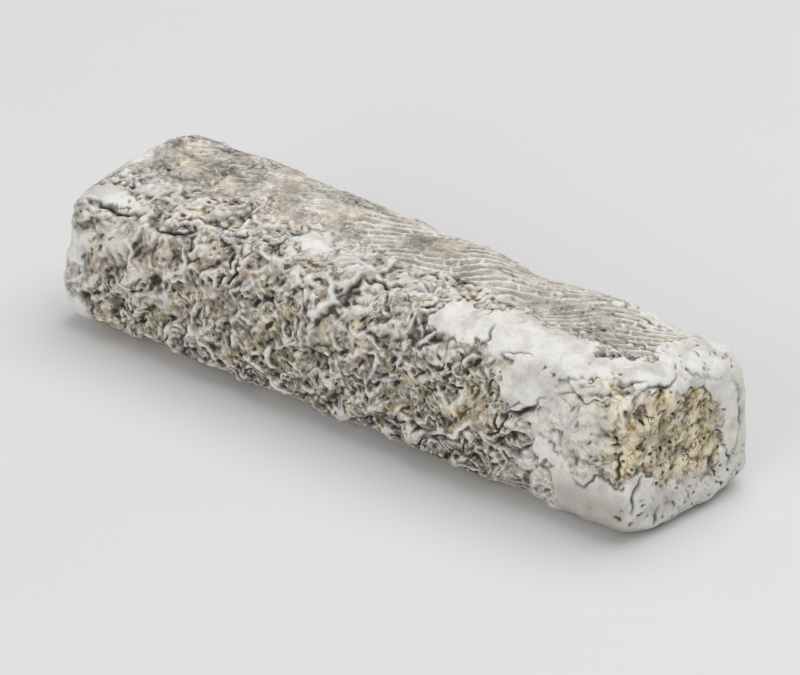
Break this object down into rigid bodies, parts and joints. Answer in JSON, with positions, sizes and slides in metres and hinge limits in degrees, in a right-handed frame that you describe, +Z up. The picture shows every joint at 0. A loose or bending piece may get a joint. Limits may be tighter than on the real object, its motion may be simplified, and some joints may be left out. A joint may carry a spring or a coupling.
{
  "type": "goat cheese log",
  "caption": "Whole aged goat cheese log with a squarish section, rounded ends and a creased, mould-ripened rind, lying flat on its underside.",
  "frame": {"origin": "bottom centre of the bounding box, on the surface the log lies on", "axes": "+X along the log towards its knobbly near end, +Z up, and the creased front side faces -Y"},
  "size_m": [0.1796, 0.0493, 0.0426],
  "materials": {
    "rind": "dry, creased grey and white mould rind with a soft sheen"
  },
  "bodies": {
    "root": {"cheese_log": "rind"}
  },
  "joints": []
}
